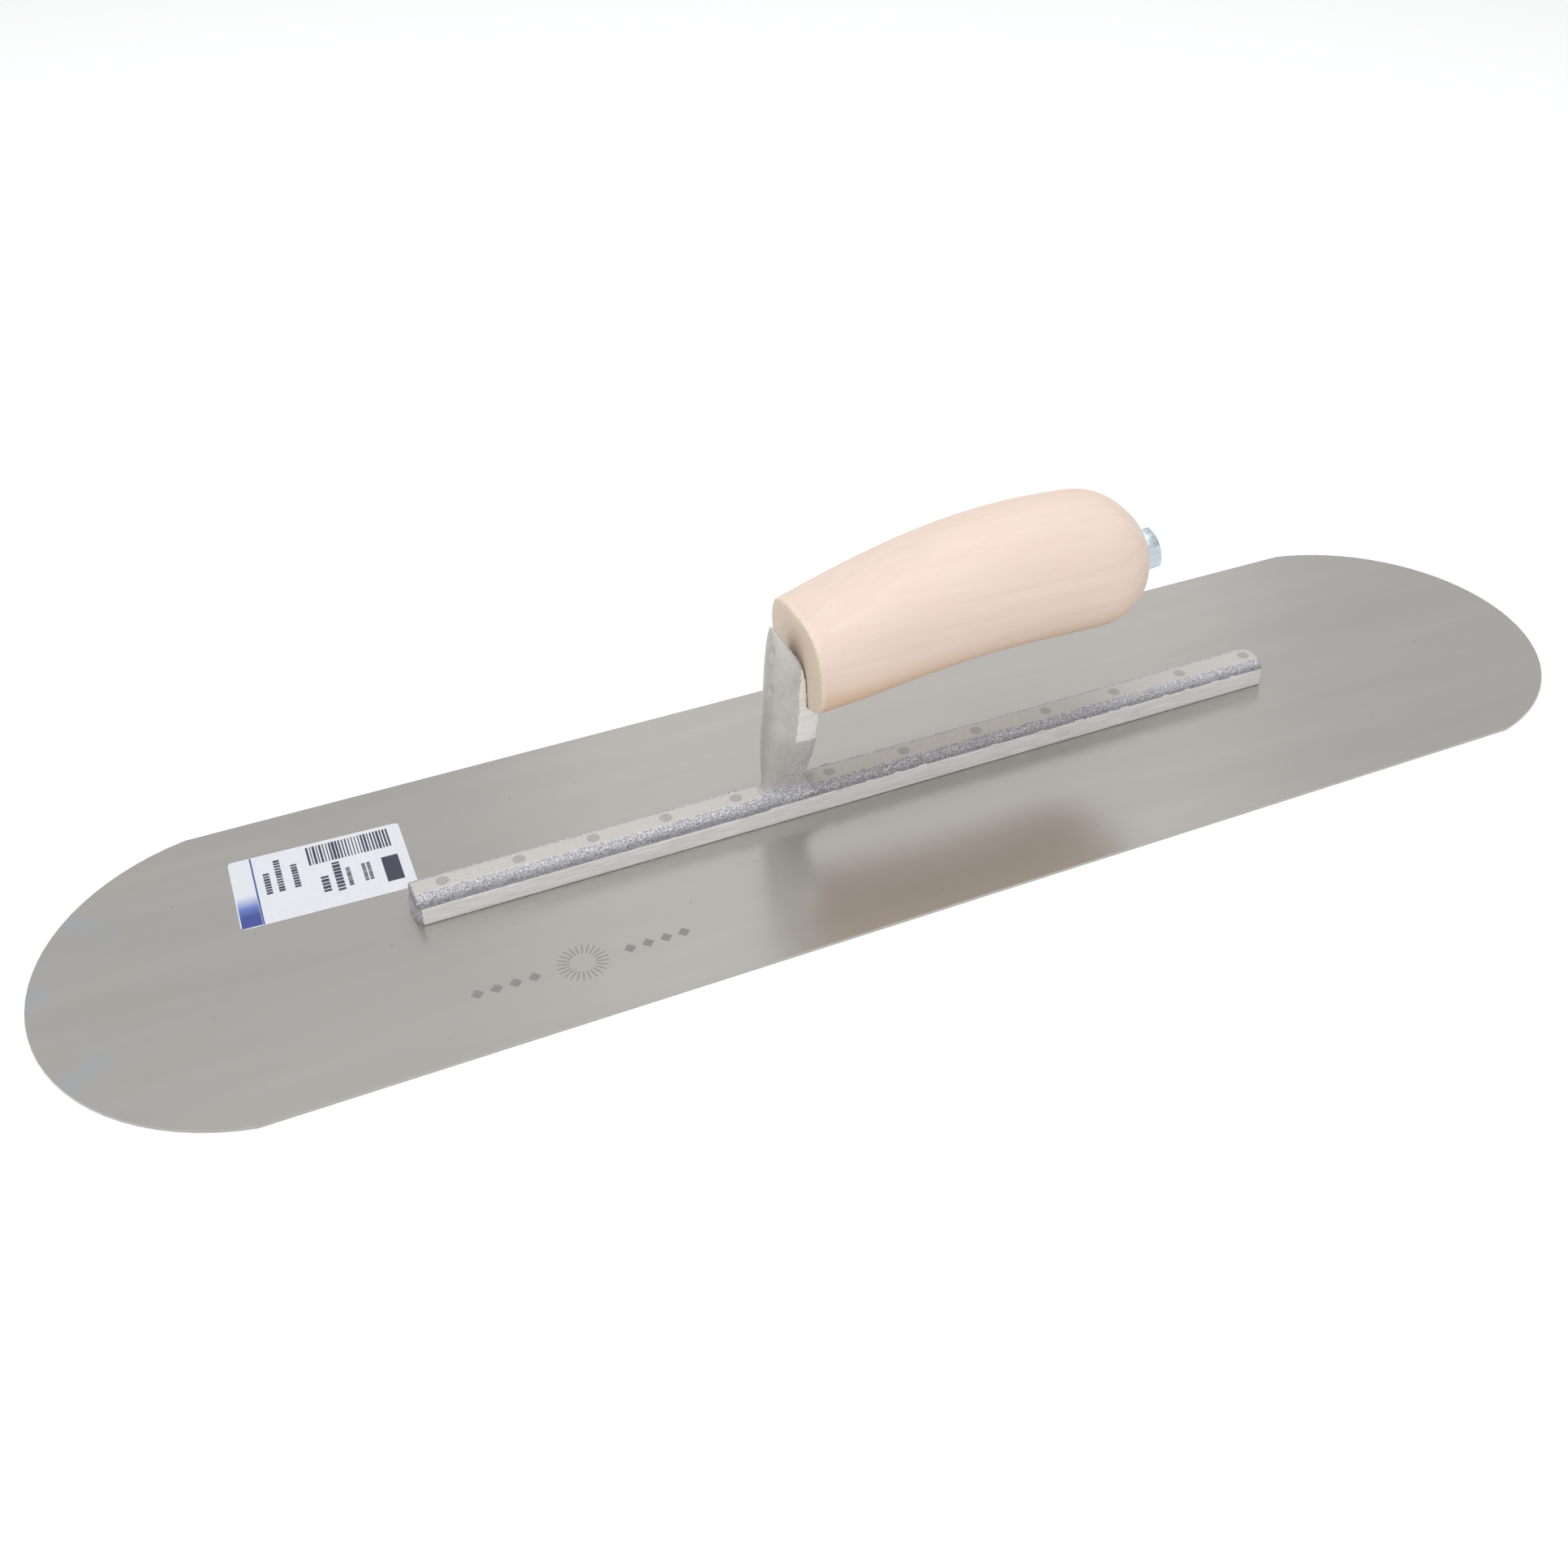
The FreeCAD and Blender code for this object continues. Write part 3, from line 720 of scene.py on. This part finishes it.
def on_blade(across, up, turn=0.0):
    """Place on the blade in millimetres from the mark's centre."""
    place = Matrix.Translation(ETCH_CENTRE + Vector((0, 0, BLADE_TOP + ETCH / 2)))
    local = Matrix.Translation(Vector((across * MM, up * MM, 0)))
    return (place @ Matrix.Rotation(ETCH_TURN, 4, "Z") @ local
            @ Matrix.Rotation(math.radians(turn), 4, "Z"))


def etch_blade(material):
    """Plain ornament of no maker's: a ring of rays between two short rows of diamonds."""
    parts = []
    rays, ray_length, ring_radius = 24, 3.6, 5.6
    ray = slab(ray_length * MM, 0.4 * MM, ETCH)
    for i in range(rays):
        turn = 2 * math.pi * i / rays
        parts.append((ray, on_blade(ring_radius * math.cos(turn), ring_radius * math.sin(turn),
                                    math.degrees(turn))))
    diamond = slab(2.7 * MM, 2.7 * MM, ETCH)
    diamonds_each_side, first_diamond, diamond_pitch = 4, 14.0, 5.4
    for side in (-1, 1):
        for i in range(diamonds_each_side):
            parts.append((diamond, on_blade(side * (first_diamond + diamond_pitch * i), 0, 45)))
    finish_piece(joined("etched_ornament", parts, material), "blade_steel")


# ---- stage, camera and light ----------------------------------------------------------------

CAMERA_PLACE = Vector((-192.1, -394.6, 331.3)) * MM
CAMERA_BEARING = math.radians(-115.085)  # side it stands on, turned from +X about +Z
CAMERA_HEIGHT = math.radians(37.049)     # how steeply it looks down
CAMERA_ROLL = math.radians(-0.187)


def make_camera():
    """A camera at the toe's near side, looking down at 37 degrees."""
    data = bpy.data.cameras.new("camera")
    data.sensor_width = 36.0
    data.lens = 39.45
    data.shift_x = -0.0435
    data.clip_start = 0.01
    data.clip_end = 20.0
    camera = bpy.data.objects.new("camera", data)
    bpy.context.scene.collection.objects.link(camera)
    turn = (Matrix.Rotation(CAMERA_BEARING + math.pi / 2, 4, "Z")
            @ Matrix.Rotation(math.pi / 2 - CAMERA_HEIGHT, 4, "X")
            @ Matrix.Rotation(CAMERA_ROLL, 4, "Z"))
    camera.matrix_world = Matrix.Translation(CAMERA_PLACE) @ turn
    bpy.context.scene.camera = camera


def make_floor():
    mesh = bpy.data.meshes.new("floor")
    size = 6.0
    drop = -0.05 * MM
    corners = [(-size, -size, drop), (size, -size, drop), (size, size, drop),
               (-size, size, drop)]
    mesh.from_pydata(corners, [], [(0, 1, 2, 3)])
    material, _, shader = new_material("pale_floor")
    shader.inputs["Base Color"].default_value = srgb("F7F7F6")
    shader.inputs["Roughness"].default_value = 0.9
    link_object("floor", mesh, material)


LIGHT_TARGET = Vector((0, 0, 0.03))


def add_area(name, place, size, watts):
    """Rectangular soft light at a place, turned towards the trowel."""
    light = bpy.data.lights.new(name, "AREA")
    light.shape = "RECTANGLE"
    light.size, light.size_y = size
    light.energy = watts
    lamp = bpy.data.objects.new(name, light)
    bpy.context.scene.collection.objects.link(lamp)
    lamp.location = place
    lamp.rotation_euler = (LIGHT_TARGET - Vector(place)).to_track_quat("-Z", "Y").to_euler()


def make_light():
    """A pale room with soft sources overhead, at the near side and, weakest, behind."""
    world = bpy.data.worlds.new("studio")
    bpy.context.scene.world = world
    world.use_nodes = True
    background = world.node_tree.nodes["Background"]
    background.inputs["Color"].default_value = srgb("F4F5F6")
    background.inputs["Strength"].default_value = 0.78
    add_area("overhead", (-0.12, 0.1, 1.7), (1.6, 1.6), 16)
    add_area("near_side", (-0.7, -1.4, 0.9), (1.8, 1.4), 8)
    add_area("behind", (0.95, 1.9, 1.5), (1.3, 1.2), 1.9)
    bpy.context.scene.view_settings.view_transform = "Standard"


# ---- assembly -------------------------------------------------------------------------------

make_camera()
make_light()
make_floor()

steel = make_blade_steel()
rivet_steel = make_rivet_steel()
paper = make_label_paper()
black_ink = make_ink("black_ink", "2A2838", "3A3850")
blue_ink = make_ink("blue_ink", "33427F", "44569C")
etched = make_etched_steel()

for node_name, node_material in [("blade", steel), ("label", paper)] + [
        (name, rivet_steel) for name in RIVETS]:
    node_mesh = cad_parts[node_name].data
    node_mesh.materials.clear()
    node_mesh.materials.append(node_material)

make_casting(make_cast_alloy())
make_grip(make_basswood())
make_bolt(make_zinc_plate())
row_tree = make_row_tree()
print_label(row_tree, black_ink, blue_ink)
etch_blade(etched)
